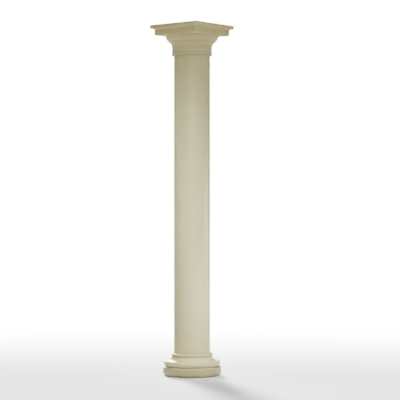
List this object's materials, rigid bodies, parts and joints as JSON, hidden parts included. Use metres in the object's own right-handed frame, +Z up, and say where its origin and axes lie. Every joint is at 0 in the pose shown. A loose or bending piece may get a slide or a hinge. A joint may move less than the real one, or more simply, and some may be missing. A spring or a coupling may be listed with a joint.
{
  "type": "doric column",
  "caption": "Free-standing classical column with a round moulded base, a plain smooth shaft and a capital with a square abacus, in cream cast stone.",
  "frame": {"origin": "centre of the foot of the base, on the ground", "axes": "+Z up along the axis of the column; X and Y along the sides of the square abacus"},
  "size_m": [0.415, 0.415, 2.42],
  "materials": {
    "cast_stone": "satin"
  },
  "bodies": {
    "root": {"base": "cast_stone", "shaft": "cast_stone", "capital": "cast_stone"}
  },
  "joints": []
}
